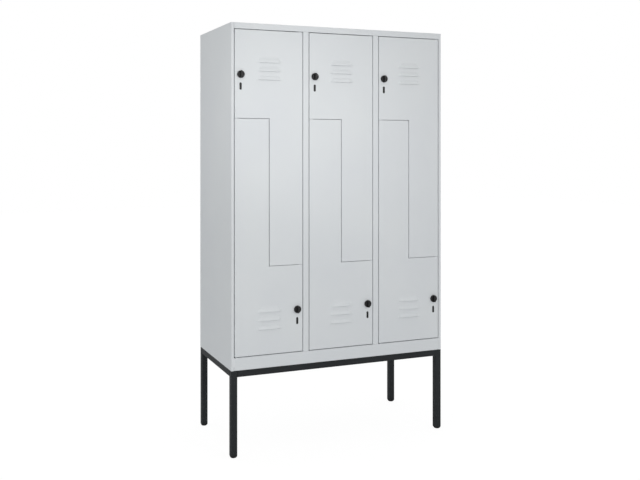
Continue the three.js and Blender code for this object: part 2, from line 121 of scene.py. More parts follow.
# Stage: a pale floor, a white surround that is softer from some sides, and soft lamps

stageLook = {
    "floorReach": 14.0,
    "floorColour": linear(226, 227, 228),
    "floorWhite": 0.93,
    "floorShade": 0.10,
    "surroundLight": 0.12,
    "softSides": {"left": ((-1.0, 0.0, 0.0), 0.39), "right": ((1.0, 0.0, 0.0), 0.60),
                  "back": ((0.0, 1.0, 0.0), 0.35), "above": ((0.0, 0.0, 1.0), 0.53)},
    "lamps": {
        "glowLamp": {"kind": "AREA", "place": (1.0, -3.4, 1.9), "aim": (-0.3, -0.25, 1.8), "size": 0.7,
                     "power": 16.8, "colour": (1.0, 0.972, 0.962)},
        "poolLamp": {"kind": "SPOT", "place": (-2.2, -2.8, 2.4), "aim": (-0.25, -0.25, 1.71), "size": 0.5,
                     "power": 93.0, "colour": (1.0, 0.985, 0.98), "coneDegrees": 24.0},
        "lowLamp": {"kind": "AREA", "place": (-1.6, -3.2, 1.4), "aim": (-0.5, -0.25, 1.2), "size": 1.4,
                    "power": 22.8, "colour": (1.0, 0.995, 0.99)},
    },
}


def makeWorld(look):
    # The camera and shiny surfaces see plain white. All other light is the soft one.
    world = bpy.data.worlds.new("surround")
    bpy.context.scene.world = world
    world.use_nodes = True
    nodes, links = world.node_tree.nodes, world.node_tree.links
    nodes.clear()
    path = addNode(nodes, "ShaderNodeLightPath")
    seen = addNode(nodes, "ShaderNodeMath", operation="MAXIMUM")
    seenOrShining = addNode(nodes, "ShaderNodeMath", operation="MAXIMUM")
    soft = addNode(nodes, "ShaderNodeBackground", {"Color": grey(1.0)})
    white = addNode(nodes, "ShaderNodeBackground", {"Color": grey(1.0), "Strength": 1.0})
    mix = addNode(nodes, "ShaderNodeMixShader")
    out = addNode(nodes, "ShaderNodeOutputWorld")
    way = addNode(nodes, "ShaderNodeTexCoord")
    total = addNode(nodes, "ShaderNodeMath", {0: look["surroundLight"], 1: 0.0}, operation="ADD")
    for direction, strength in look["softSides"].values():
        # Each side's light is strongest straight from its own direction and fades out square to it
        facing = addNode(nodes, "ShaderNodeVectorMath", {1: direction}, operation="DOT_PRODUCT")
        ahead = addNode(nodes, "ShaderNodeMath", {1: 0.0}, operation="MAXIMUM")
        share = addNode(nodes, "ShaderNodeMath", {1: strength}, operation="MULTIPLY_ADD")
        links.new(way.outputs["Generated"], facing.inputs[0])
        links.new(facing.outputs["Value"], ahead.inputs[0])
        links.new(ahead.outputs[0], share.inputs[0])
        links.new(total.outputs[0], share.inputs[2])
        total = share
    links.new(total.outputs[0], soft.inputs["Strength"])
    links.new(path.outputs["Is Camera Ray"], seen.inputs[0])
    links.new(path.outputs["Is Transmission Ray"], seen.inputs[1])
    links.new(seen.outputs[0], seenOrShining.inputs[0])
    links.new(path.outputs["Is Glossy Ray"], seenOrShining.inputs[1])
    links.new(seenOrShining.outputs[0], mix.inputs[0])
    links.new(soft.outputs[0], mix.inputs[1])
    links.new(white.outputs[0], mix.inputs[2])
    links.new(mix.outputs[0], out.inputs["Surface"])


def makeFloor(look):
    # The camera sees a nearly white floor, and the locker gets the light of a pale grey one
    reach = look["floorReach"]
    mesh = bpy.data.meshes.new("floor")
    corners = [(-reach, -reach, 0.0), (reach, -reach, 0.0), (reach, reach, 0.0), (-reach, reach, 0.0)]
    mesh.from_pydata(corners, [], [(0, 1, 2, 3)])
    floor = bpy.data.objects.new("floor", mesh)
    bpy.context.scene.collection.objects.link(floor)
    material, nodes, links = newMaterial("palePlainFloor")
    path = addNode(nodes, "ShaderNodeLightPath")
    paint = addNode(nodes, "ShaderNodeBsdfDiffuse", {"Color": look["floorColour"]})
    shade = addNode(nodes, "ShaderNodeBsdfDiffuse", {"Color": grey(look["floorShade"])})
    glow = addNode(nodes, "ShaderNodeEmission", {"Color": grey(1.0), "Strength": look["floorWhite"]})
    seen = addNode(nodes, "ShaderNodeAddShader")
    mix = addNode(nodes, "ShaderNodeMixShader")
    out = addNode(nodes, "ShaderNodeOutputMaterial")
    links.new(shade.outputs[0], seen.inputs[0])
    links.new(glow.outputs[0], seen.inputs[1])
    links.new(path.outputs["Is Camera Ray"], mix.inputs[0])
    links.new(paint.outputs[0], mix.inputs[1])
    links.new(seen.outputs[0], mix.inputs[2])
    links.new(mix.outputs[0], out.inputs["Surface"])
    mesh.materials.append(material)


def makeLamp(name, look):
    # A lamp shines down its own z axis, so that axis is turned to point away from the aim
    data = bpy.data.lights.new(name, look["kind"])
    if look["kind"] == "SPOT":
        data.spot_size = math.radians(look["coneDegrees"])
        data.spot_blend = 1.0
        data.shadow_soft_size = look["size"] / 2
    else:
        data.size = look["size"]
    data.energy = look["power"]
    data.color = look["colour"]
    lamp = bpy.data.objects.new(name, data)
    away = np.array(look["place"]) - np.array(look["aim"])
    across = math.hypot(away[0], away[1])
    lamp.location = look["place"]
    lamp.rotation_euler = (math.atan2(across, away[2]), 0.0, math.atan2(away[1], away[0]) + math.pi / 2)
    bpy.context.scene.collection.objects.link(lamp)


makeWorld(stageLook)
makeFloor(stageLook)
for lampName, lampLook in stageLook["lamps"].items():
    makeLamp(lampName, lampLook)
bpy.context.scene.view_settings.view_transform = "Standard"
print("stage 2: camera, floor and lamps")

# Materials. Each reads Object coordinates, which are metres in the locker's own frame.


def onObject(nodes, links, textures):
    # The textures read the piece's own metres
    coordinates = addNode(nodes, "ShaderNodeTexCoord")
    for texture in textures:
        links.new(coordinates.outputs["Object"], texture.inputs["Vector"])


def finishSurface(nodes, links, look, colourFrom, glossFrom, bump):
    # One pattern moves the colour from the deep tone at the first stop to the light tone at the second.
    # The other moves the roughness evenly about its middle, and the bump gives the normal.
    tone = addNode(nodes, "ShaderNodeValToRGB")
    for element, place, colour in zip(tone.color_ramp.elements, look["stops"], (look["deep"], look["light"])):
        element.position = place
        element.color = colour
    gloss = addNode(nodes, "ShaderNodeMapRange", {"To Min": look["roughness"] - look["glossSpread"],
                                                  "To Max": look["roughness"] + look["glossSpread"]})
    shader = addNode(nodes, "ShaderNodeBsdfPrincipled", {"Specular IOR Level": look["specular"],
                                                         "Metallic": look["metallic"]})
    out = addNode(nodes, "ShaderNodeOutputMaterial")
    links.new(colourFrom, tone.inputs["Fac"])
    links.new(tone.outputs["Color"], shader.inputs["Base Color"])
    links.new(glossFrom, gloss.inputs["Value"])
    links.new(gloss.outputs["Result"], shader.inputs["Roughness"])
    links.new(bump.outputs["Normal"], shader.inputs["Normal"])
    links.new(shader.outputs["BSDF"], out.inputs["Surface"])


paintLook = {
    "light": linear(212, 216, 218),
    "deep": linear(209, 213, 216),
    "stops": (0.35, 0.65),
    "roughness": 0.46,
    "glossSpread": 0.03,
    "specular": 0.35,
    "metallic": 0.0,
    "peelScale": 900.0,
    "peelDepth": 0.00002,
    "waveScale": 2.2,
    "waveDepth": 0.0006,
    "cloudScale": 3.0,
}

standPaintLook = {
    **paintLook,
    "light": linear(34, 37, 39),
    "deep": linear(28, 31, 33),
    "roughness": 0.55,
    "specular": 0.22,
    "peelScale": 700.0,
    "peelDepth": 0.00003,
    "waveDepth": 0.0,
}


def powderCoat(name, look):
    # Colour drifts slowly between two greys. The height is a fine peel plus a long soft wave of the sheet.
    material, nodes, links = newMaterial(name)
    cloud = addNoise(nodes, look["cloudScale"], 3.0)
    peel = addNoise(nodes, look["peelScale"], 2.0, 0.6)
    wave = addNoise(nodes, look["waveScale"], 1.0, 0.4)
    waveBump, peelBump = [addBump(nodes, 1.0, depth) for depth in (look["waveDepth"], look["peelDepth"])]
    onObject(nodes, links, (cloud, peel, wave))
    links.new(wave.outputs["Fac"], waveBump.inputs["Height"])
    links.new(peel.outputs["Fac"], peelBump.inputs["Height"])
    links.new(waveBump.outputs["Normal"], peelBump.inputs["Normal"])
    finishSurface(nodes, links, look, cloud.outputs["Fac"], peel.outputs["Fac"], peelBump)
    return material


plasticLook = {
    "light": linear(30, 30, 31),
    "deep": linear(22, 22, 23),
    "stops": (0.3, 0.7),
    "roughness": 0.42,
    "glossSpread": 0.06,
    "specular": 0.3,
    "metallic": 0.0,
    "grainScale": 1800.0,
    "cellsPerDrift": 30.0,
    "grainDepth": 0.00002,
}

footPlasticLook = {**plasticLook, "roughness": 0.6, "specular": 0.25, "grainScale": 900.0}
hookPlasticLook = {**plasticLook, "light": linear(46, 47, 48), "deep": linear(38, 39, 40), "roughness": 0.38}


def mouldedPlastic(name, look):
    # Two near blacks drift into each other, under the small cells of a shallow spark-eroded grain
    material, nodes, links = newMaterial(name)
    grain = addNode(nodes, "ShaderNodeTexVoronoi", {"Scale": look["grainScale"]}, feature="F1")
    drift = addNoise(nodes, look["grainScale"] / look["cellsPerDrift"], 3.0)
    bump = addBump(nodes, 0.8, look["grainDepth"])
    onObject(nodes, links, (grain, drift))
    links.new(grain.outputs["Distance"], bump.inputs["Height"])
    finishSurface(nodes, links, look, drift.outputs["Fac"], drift.outputs["Fac"], bump)
    return material


zincLook = {
    "light": linear(199, 202, 206),
    "deep": linear(172, 176, 182),
    "stops": (0.2, 0.9),
    "roughness": 0.34,
    "glossSpread": 0.08,
    "specular": 0.5,
    "metallic": 0.9,
    "spangleScale": 260.0,
    "brushScale": 40.0,
    "brushStretch": 60.0,
    "brushDepth": 0.00001,
}


def zincPlate(name, look):
    # Zinc spangles: cells of slightly different grey, under a fine drawn line along x
    material, nodes, links = newMaterial(name)
    across = look["brushStretch"]
    stretch = addNode(nodes, "ShaderNodeMapping", {"Scale": (1.0, across, across)})
    spangle = addNode(nodes, "ShaderNodeTexVoronoi", {"Scale": look["spangleScale"]}, feature="F1")
    brush = addNoise(nodes, look["brushScale"], 4.0)
    bump = addBump(nodes, 0.6, look["brushDepth"])
    onObject(nodes, links, (spangle, stretch))
    links.new(stretch.outputs["Vector"], brush.inputs["Vector"])
    links.new(brush.outputs["Fac"], bump.inputs["Height"])
    finishSurface(nodes, links, look, spangle.outputs["Color"], brush.outputs["Fac"], bump)
    return material


finishes = {
    "body_paint": powderCoat("lightGreyPowderCoat", paintLook),
    "stand_paint": powderCoat("blackGreyPowderCoat", standPaintLook),
    "lock_plastic": mouldedPlastic("blackLockPlastic", plasticLook),
    "foot_plastic": mouldedPlastic("blackFootPlastic", footPlasticLook),
    "hook_plastic": mouldedPlastic("darkHookPlastic", hookPlasticLook),
    "zinc_steel": zincPlate("brightZinc", zincLook),
}
slotOfNode = {entry["node"]: entry["material_slot"] for entry in frame["record"]["subparts"]}
for nodeName, nodeObject in frame["nodes"].items():
    nodeObject.data.materials.clear()
    nodeObject.data.materials.append(finishes[slotOfNode[nodeName]])
print("stage 3: finishes on the carried nodes")

# Shapes are worked out in millimetres from the body's lower left front corner, as on a drawing.

bodyLook = {
    "origin": (-600.0, -241.0, 425.0),
    "columns": {"left": (0.0, 400.0), "middle": (400.0, 800.0), "right": (800.0, 1200.0)},
    "height": 1700.0,
    "stile": 14.25,
    "post": 31.0,
    "header": 30.0,
    "apron": 61.9,
    "upperStep": 1231.3,
    "lowerStep": 501.0,
}
doorPlaces = [(column, level) for column in bodyLook["columns"] for level in ("upper", "lower")]
meshLook = {
    "placesPerMetre": 1e6,
    "tieShift": 0.21,
    "sharpDegrees": 38.0,
}


def settle(piece):
    # Modifiers become plain mesh
    graph = bpy.context.evaluated_depsgraph_get()
    mesh = bpy.data.meshes.new_from_object(piece.evaluated_get(graph))
    old = piece.data
    piece.modifiers.clear()
    piece.data = mesh
    bpy.data.meshes.remove(old)
    mesh.name = piece.name


def pieceFrom(kind, places, points, quads, body, slot, thickness=0.0):
    # Millimetres on the drawing become metres in the locker's frame. Points that share a place become one,
    # and a quad that shrinks to a line or a point is dropped. A quad with one short side is kept as a
    # triangle. The shift keeps equal points off a rounding tie. Edges sharper than the angle stay crisp.
    name = kind + "".join(place.title() for place in places)
    points = (np.asarray(points, dtype=float) + np.array(bodyLook["origin"])) * mm
    keys = np.round(points * meshLook["placesPerMetre"] + meshLook["tieShift"]).astype(np.int64)
    _, first, inverse = np.unique(keys, axis=0, return_index=True, return_inverse=True)
    faces = inverse.reshape(-1)[quads]
    same = faces == np.roll(faces, -1, axis=1)
    crossed = (faces[:, 0] == faces[:, 2]) | (faces[:, 1] == faces[:, 3])
    whole = faces[~same.any(axis=1) & ~crossed]
    isShort = (same.sum(axis=1) == 1) & ~crossed
    short = faces[isShort][~same[isShort]].reshape(-1, 3)
    used, order = np.unique(np.concatenate([whole.reshape(-1), short.reshape(-1)]), return_inverse=True)
    whole = order[:whole.size].reshape(-1, 4)
    short = order[order.size - short.size:].reshape(-1, 3)
    mesh = bpy.data.meshes.new(name)
    mesh.from_pydata(points[first][used].tolist(), [], whole.tolist() + short.tolist())
    mesh.materials.append(finishes[slot])
    piece = bpy.data.objects.new(name, mesh)
    bpy.context.scene.collection.objects.link(piece)
    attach(piece, body)
    if thickness:
        # The surface gets its wall on the side away from its normals
        wall = piece.modifiers.new("wall", "SOLIDIFY")
        wall.thickness = thickness * mm
        wall.offset = -1.0
        wall.use_quality_normals = True
        settle(piece)
    piece.data.shade_smooth()
    piece.data.set_sharp_from_angle(angle=math.radians(meshLook["sharpDegrees"]))
    return piece


# Shape helpers, for grids and for outlines that are carried along a path


def quarter(steps):
    # Angles from nought to a right angle, evenly spread
    return np.linspace(0.0, math.pi / 2, steps + 1)


def loopQuads(numbers):
    # Quads between each row of point numbers and the next one, with every row closed round
    ahead = np.roll(numbers, -1, axis=1)
    return np.stack([numbers[:-1], numbers[1:], ahead[1:], ahead[:-1]], axis=-1).reshape(-1, 4)


def turned(profile, steps):
    # A profile of radius and depth is carried once round the y axis. Its poles and its seam are welded.
    profile = np.asarray(profile, dtype=float)
    angle = np.arange(steps) * 2 * math.pi / steps
    radius, depth = profile[:, :1], profile[:, 1:]
    depths = np.broadcast_to(depth, (len(profile), steps))
    rows = np.stack([radius * np.cos(angle), depths, radius * np.sin(angle)], axis=-1)
    return rows.reshape(-1, 3), loopQuads(np.arange(len(profile) * steps).reshape(-1, steps))


def stacked(outlines):
    # Outlines with the same count of points, each closed, are joined one after the other
    outlines = np.asarray(outlines)
    numbers = np.arange(outlines.shape[0] * outlines.shape[1]).reshape(outlines.shape[:2])
    return outlines.reshape(-1, 3), loopQuads(numbers)[:, [0, 3, 2, 1]]


def standing(plan, depth):
    # An outline of x and z is stood at a depth
    return np.column_stack([plan[:, 0], np.full(len(plan), depth), plan[:, 1]])


def together(*parts):
    # The parts' points follow one another, and each part's quads count on from the last
    points, quads, start = [], [], 0
    for partPoints, partQuads in parts:
        points.append(partPoints)
        quads.append(partQuads + start)
        start += len(partPoints)
    return np.concatenate(points), np.concatenate(quads)


# Doors: each is one sheet with a flat skin, a folded rim carried round its L, and pressed louvers

doorLook = {
    "thickness": 1.2,
    "depth": 20.0,
    "lip": 12.0,
    "edgeRadius": 1.5,
    "edgeSteps": 5,
    "cornerRadius": 2.5,
    "cornerSteps": 6,
    "headerGap": 3.2,
    "apronGap": 4.0,
    "sideGap": 3.8,
    "splitGap": 3.5,
    "stepGap": 2.0,
    "gridStep": 14.0,
}

louverLook = {
    "width": 125.0,
    "height": 20.0,
    "proud": 6.0,
    "pitch": 42.5,
    "rows": 3,
    "upperBottom": 1422.0,
    "lowerBottom": 188.5,
    "crown": 0.85,
    "roll": 3.0,
    "rollStep": 0.6,
    "stepAcross": 2.5,
    "stepUp": 1.4,
}

lockLook = {
    "inset": 48.5,
    "upperHeight": 1446.5,
    "lowerHeight": 277.5,
    "holeRadius": 10.0,
    "slotDrop": 57.5,
    "slotWidth": 12.0,
    "slotHeight": 36.0,
    "rim": ((0.4, 0.0), (0.1, 0.15), (0.0, 0.5)),   # how far outside the hole's edge, and how deep
    "patchMargin": 5.0,
    "patchStep": 2.0,
}


def linesThrough(stops):
    # Each stop is a position and the widest step allowed after it. The lines between are evenly spread.
    lines = []
    for (here, step), (there, _) in zip(stops, stops[1:]):
        count = max(1, math.ceil((there - here) / step - hair))
        lines.append(np.linspace(here, there, count + 1)[:-1])
    return np.concatenate(lines + [[stops[-1][0]]])


def fineSpan(centre, half, step):
    # A stretch reaches as far below its centre as above it, and its lines stand no wider than its step
    return centre - half, centre + half, step


def spreadLines(marks, spans, coarse):
    # Lines run through all marks and ends of spans. Between two of them the step is the finest that a span
    # over that stretch asks for.
    ends = [end for low, high, _ in spans for end in (low, high)]
    places = np.unique(np.round(marks + ends, 6))
    steps = [min([coarse] + [step for low, high, step in spans if low - hair <= place < high - hair])
             for place in places]
    return linesThrough(list(zip(places, steps)))


def indexAt(lines, value):
    # The number of the line that lies nearest
    return int(np.argmin(np.abs(lines - value)))


def louverLift(x, z, centre, bottom, look):
    # The hood's footprint is a half capsule. It stands out by a quarter sine of the distance in from its rim.
    # Its lower edge is rolled in by a quarter circle.
    side = np.maximum(np.abs(x - centre) - (look["width"] / 2 - look["height"]), 0.0)
    rise = z - bottom
    inward = np.clip(1.0 - np.hypot(side, rise) / look["height"], 0.0, 1.0) ** look["crown"]
    under = np.clip(1.0 - rise / look["roll"], 0.0, 1.0)
    rolled = 1.0 - look["roll"] / look["proud"] * (1.0 - np.sqrt(1.0 - under ** 2))
    return np.where(rise >= -hair, look["proud"] * np.sin(inward * math.pi / 2) * rolled, 0.0)


def doorPlan(column, level):
    # The L is drawn from its pivot corner: u runs away from the pivot, w from the wide end to the leg's end
    left, right = bodyLook["columns"][column]
    halfPost, halfStep, halfSplit = bodyLook["post"] / 2, doorLook["stepGap"] / 2, doorLook["splitGap"] / 2
    doorLeft = left + (bodyLook["stile"] if column == "left" else halfPost) + doorLook["sideGap"]
    doorRight = right - (bodyLook["stile"] if column == "right" else halfPost) - doorLook["sideGap"]
    middle, steps = (left + right) / 2, (bodyLook["lowerStep"], bodyLook["upperStep"])
    if level == "upper":
        sign, x0, z0 = -1.0, doorRight, bodyLook["height"] - bodyLook["header"] - doorLook["headerGap"]
        lockX, steps = left + lockLook["inset"], steps[::-1]
    else:
        sign, x0, z0 = 1.0, doorLeft, bodyLook["apron"] + doorLook["apronGap"]
        lockX = right - lockLook["inset"]
    wideHeight, length = [sign * (step - z0) - halfStep for step in steps]
    return {"corner": (x0, z0), "sign": sign, "middle": middle, "width": doorRight - doorLeft,
            "legWidth": sign * (middle - x0) - halfSplit, "wideHeight": wideHeight, "length": length,
            "louverBottom": louverLook[f"{level}Bottom"], "lock": (lockX, lockLook[f"{level}Height"])}


def doorHoles(plan):
    # Each hole is the middle and half length of its upright core line, its radius and the half size of its
    # patch. The round hole's core has no length.
    x, z = plan["lock"]
    margin, wide, narrow = lockLook["patchMargin"], lockLook["holeRadius"], lockLook["slotWidth"] / 2
    reach = lockLook["slotHeight"] / 2 - narrow
    return [
        {"x": x, "z": z, "reach": 0.0, "radius": wide, "halfX": wide + margin, "halfZ": wide + margin},
        {"x": x, "z": z - lockLook["slotDrop"], "reach": reach, "radius": narrow,
         "halfX": wide + margin, "halfZ": narrow + reach + margin},
    ]


def doorLines(plan, holes):
    # The grid's lines run through the corners of the L, the louvers and the patches round the holes
    (x0, z0), sign, inset = plan["corner"], plan["sign"], doorLook["cornerRadius"]
    across = [fineSpan(sign * (plan["middle"] - x0), louverLook["width"] / 2, louverLook["stepAcross"]),
              fineSpan(sign * (holes[0]["x"] - x0), holes[0]["halfX"], lockLook["patchStep"])]
    up = [fineSpan(sign * (hole["z"] - z0), hole["halfZ"], lockLook["patchStep"]) for hole in holes]
    bands = ((louverLook["height"], louverLook["stepUp"]), (louverLook["roll"], louverLook["rollStep"]))
    for row in range(louverLook["rows"]):
        bottom = plan["louverBottom"] + row * louverLook["pitch"]
        up += [fineSpan(sign * (bottom + height / 2 - z0), height / 2, step) for height, step in bands]
    acrossMarks = [inset, plan["legWidth"] - inset, plan["width"] - inset]
    upMarks = [inset, plan["wideHeight"] - inset, plan["length"] - inset]
    coarse = doorLook["gridStep"]
    return spreadLines(acrossMarks, across, coarse), spreadLines(upMarks, up, coarse)


def doorSkin(plan, holes):
    # The skin is a grid in u and w. Rows at a louver's lower edge hold their points twice: once on the
    # hood, which stands out, and once on the flat sheet under it, which opens the slit.
    (x0, z0), sign, inset = plan["corner"], plan["sign"], doorLook["cornerRadius"]
    u, w = doorLines(plan, holes)
    x, z = x0 + sign * u, z0 + sign * w
    gridX, gridZ = np.meshgrid(x, z)
    lift = np.zeros_like(gridX)
    hood = np.arange(gridX.size).reshape(gridX.shape)
    flat, extra = hood.copy(), []
    for row in range(louverLook["rows"]):
        bottom = plan["louverBottom"] + row * louverLook["pitch"]
        lift = np.maximum(lift, louverLift(gridX, gridZ, plan["middle"], bottom, louverLook))
        slit = indexAt(z, bottom)
        flat[slit] = gridX.size + len(extra) * len(x) + np.arange(len(x))
        extra.append(np.stack([x, np.zeros_like(x), np.full_like(x, z[slit])], axis=1))
    grid = np.stack([gridX, -lift, gridZ], axis=-1).reshape(-1, 3)
    # Above a slit the sheet takes the hood's points, below it the flat ones
    lower, upper = (hood, flat) if sign > 0 else (flat, hood)
    quads = np.stack([lower[:-1, :-1], lower[:-1, 1:], upper[1:, 1:], upper[1:, :-1]], axis=-1)
    midU, midW = np.meshgrid((u[:-1] + u[1:]) / 2, (w[:-1] + w[1:]) / 2)
    midX, midZ = x0 + sign * midU, z0 + sign * midW
    keep = (midW < plan["wideHeight"] - inset) | (midU < plan["legWidth"] - inset)
    for hole in holes:
        keep &= (np.abs(midX - hole["x"]) > hole["halfX"]) | (np.abs(midZ - hole["z"]) > hole["halfZ"])
    return {"u": u, "w": w, "x": x, "z": z, "numbers": hood, "points": np.concatenate([grid, *extra]),
            "quads": quads[keep]}


def holePatch(skin, hole):
    # The patch's square border is drawn in to a round or slotted hole, whose edge turns back a little
    columns = np.flatnonzero(np.abs(skin["x"] - hole["x"]) < hole["halfX"] + hair)
    rows = np.flatnonzero(np.abs(skin["z"] - hole["z"]) < hole["halfZ"] + hair)
    numbers = skin["numbers"][rows[0]:rows[-1] + 1, columns[0]:columns[-1] + 1]
    ring = np.concatenate([numbers[:-1, 0], numbers[-1, :-1], numbers[:0:-1, -1], numbers[0, :0:-1]])
    border = skin["points"][ring]
    core = np.stack([np.full(len(ring), hole["x"]), np.zeros(len(ring)),
                     hole["z"] + np.clip(border[:, 2] - hole["z"], -hole["reach"], hole["reach"])], axis=1)
    way = border - core
    way /= np.linalg.norm(way, axis=1, keepdims=True)
    edge = [core + way * (hole["radius"] + outside) + (0.0, depth, 0.0) for outside, depth in lockLook["rim"]]
    halfway = border + (edge[0] - border) / 2
    return ring, np.stack([halfway] + edge)


def bandQuads(firstRing, rows, start):
    # Quads between one ring of point numbers and the rows of new points that follow it, all closed round
    numbers = start + np.arange(rows.shape[0] * rows.shape[1]).reshape(rows.shape[:2])
    return loopQuads(np.concatenate([[firstRing], numbers]))


def rimStations(skin, plan):
    # Stations go round the skin's border. A straight side points outwards, an outer corner fans from one
    # side's way to the next, and the inner corner has their sum, which is its mitre.
    inset, n = doorLook["cornerRadius"], skin["numbers"]
    leg, step = indexAt(skin["u"], plan["legWidth"] - inset), indexAt(skin["w"], plan["wideHeight"] - inset)
    sides = [(n[0, :], (0, -1)), (n[:step + 1, -1], (1, 0)), (n[step, leg:][::-1], (0, 1)),
             (n[step:, leg], (1, 0)), (n[-1, :leg + 1][::-1], (0, 1)), (n[:, 0][::-1], (-1, 0))]
    turn = quarter(doorLook["cornerSteps"])[:, None]
    ring, outward, mitre = [], [], []
    for (line, way), (_, nextWay) in zip(sides, sides[1:] + sides[:1]):
        way, nextWay = np.array(way, dtype=float), np.array(nextWay, dtype=float)
        inner = line[1:-1]
        isOuter = way[0] * nextWay[1] - way[1] * nextWay[0] > 0
        fan = np.cos(turn) * way + np.sin(turn) * nextWay if isOuter else (way + nextWay)[None, :]
        ring += [inner, np.full(len(fan), line[-1])]
        outward += [np.tile(way, (len(inner), 1)), fan]
        mitre += [np.tile(way, (len(inner), 1)), np.tile(way + nextWay, (len(fan), 1))]
    return np.concatenate(ring), np.concatenate(outward), np.concatenate(mitre)


def rimRows(skin, plan):
    # The rim's section: round the front edge, back along the flange, round again and in along the lip
    ring, outward, mitre = rimStations(skin, plan)
    inset, radius, depth = doorLook["cornerRadius"], doorLook["edgeRadius"], doorLook["depth"]
    turn, side = quarter(doorLook["edgeSteps"]), inset - radius
    front = np.stack([side + radius * np.sin(turn), radius - radius * np.cos(turn)], axis=1)
    back = np.stack([side + radius * np.cos(turn), depth - radius + radius * np.sin(turn)], axis=1)
    lip = [[0.0, depth], [inset - doorLook["lip"], depth]]
    base = skin["points"][ring]
    rows = []
    for out, y in np.concatenate([front, back, lip]):
        shift = (outward if out >= 0 else mitre) * out * plan["sign"]
        rows.append(standing(base[:, [0, 2]] + shift, y))
    return ring, np.stack(rows)


def makeDoor(column, level):
    # Skin, hole edges and folded rim are one surface, which then gets the sheet's thickness
    plan = doorPlan(column, level)
    holes = doorHoles(plan)
    skin = doorSkin(plan, holes)
    points, quads, start = [skin["points"]], [skin["quads"]], len(skin["points"])
    for ring, rows in [holePatch(skin, hole) for hole in holes] + [rimRows(skin, plan)]:
        points.append(rows.reshape(-1, 3))
        quads.append(bandQuads(ring, rows, start))
        start += len(points[-1])
    door = pieceFrom("door", (level, column), np.concatenate(points), np.concatenate(quads),
                     f"{level}_{column}_door", "body_paint", doorLook["thickness"])
    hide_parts(f"door_{level}_{column}")


for columnName, levelName in doorPlaces:
    makeDoor(columnName, levelName)
print("stage 4: doors")

# Lock knobs: a turned base with a raised rim, and an upright grip that is waisted in the middle

knobLook = {
    "radius": 18.5,
    "backGap": 0.3,
    "backEdge": 0.3,
    "baseHeight": 9.0,
    "dish": 1.6,
    "dishBlend": 0.6,
    "dishLean": 0.2,
    "rimWidth": 2.2,
    "rounding": 1.6,
    "turnSteps": 72,
    "proud": 18.0,
    "gripRadius": 17.5,
    "gripHalf": 5.0,
    "gripWaist": 1.2,
    "gripRounding": 1.4,
    "gripSideSteps": 24,
    "gripEndSteps": 12,
    "crown": 0.6,
    "crownShares": (0.6, 0.3, 0.0),
    "spindleRadius": 5.0,
    "spindleEnd": 17.3,
    "spindleEdge": 0.5,
    "spindleSteps": 24,
    "squareHalf": 3.5,
    "shaftRoot": 0.2,
    "shaftEnd": 30.0,
    "shaftEdge": 0.4,
    "shaftTip": 0.9,
}


def arcBetween(centre, radius, fromDegrees, toDegrees, steps=6):
    # Points on an arc in the plane of radius and depth
    angle = np.radians(np.linspace(fromDegrees, toDegrees, steps + 1))
    return [(centre[0] + radius * math.cos(a), centre[1] + radius * math.sin(a)) for a in angle]


def knobBase(look):
    # From the middle of the dish over the raised rim, down the round side and back to the middle behind
    radius, front, rounding = look["radius"], -look["baseHeight"], look["rounding"]
    blend, lean, edge, behind = look["dishBlend"], look["dishLean"], look["backEdge"], -look["backGap"]
    dish = front + look["dish"]
    rim = radius - rounding - look["rimWidth"]
    foot = rim - 2 * blend
    profile = [(0.0, dish), (rim / 2, dish), (foot, dish)]
    profile += arcBetween((foot, dish - blend), blend, 90.0, 30.0, 3)
    profile += arcBetween((rim + lean, front + blend), blend, 210.0, 270.0, 3)
    profile += arcBetween((radius - rounding, front + rounding), rounding, 270.0, 360.0)
    profile += [(radius, behind - edge), (radius - edge, behind), (0.0, behind)]
    return turned(profile, look["turnSteps"])


def gripOutline(look, inset):
    # Up the right side, round the top, down the left side and round the bottom. The sides bow in by a
    # parabola, and the ends follow the knob's circle.
    end, half = look["gripRadius"] - inset, look["gripHalf"] - inset
    reach = math.sqrt(end ** 2 - half ** 2)
    rise = np.linspace(-reach, reach, look["gripSideSteps"] + 1)
    side = half - look["gripWaist"] * (1.0 - (rise / reach) ** 2)
    over = np.linspace(-1.0, 1.0, look["gripEndSteps"] + 1)[1:-1] * math.asin(half / end)
    arc = np.stack([end * np.sin(over), end * np.cos(over)], axis=1)
    right = np.stack([side, rise], axis=1)
    return np.concatenate([right, arc[::-1], -right, -arc[::-1]])


def knobGrip(look):
    # The outline is drawn in a little at the front, in a round. Both ends close to their middle line, the
    # front one over a crown that falls away by the square of the distance from it.
    turn, rounding, front = quarter(5), look["gripRounding"], look["crown"] - look["proud"]
    levels = [(0.0, -look["baseHeight"] / 2)]
    levels += list(zip(rounding - rounding * np.cos(turn), front + rounding - rounding * np.sin(turn)))
    rows = [standing(gripOutline(look, inset), depth) for inset, depth in levels]
    first = rows[0] * (0.0, 1.0, 1.0)
    crown = [rows[-1] * (share, 0.0, 1.0) + (0.0, look["crown"] * share ** 2 - look["proud"], 0.0)
             for share in look["crownShares"]]
    return stacked([first] + rows + crown)


def knobSpindle(look):
    # A round spindle runs back through the case to a square shaft, which carries the cam
    radius, half, edge = look["spindleRadius"], look["squareHalf"], look["spindleEdge"]
    start, middle, end = -look["backGap"], look["spindleEnd"], look["shaftEnd"]
    bar = turned([(0.0, start), (radius, start), (radius, middle - edge), (radius - edge, middle),
                  (0.0, middle)], look["spindleSteps"])
    square = [(half, half), (half, -half), (-half, -half), (-half, half)]
    root = middle - look["shaftRoot"]
    levels = [(0.0, root), (1.0, root), (1.0, end - look["shaftEdge"]), (look["shaftTip"], end), (0.0, end)]
    shaft = stacked([[(x * scale, depth, z * scale) for x, z in square] for scale, depth in levels])
    return together(bar, shaft)


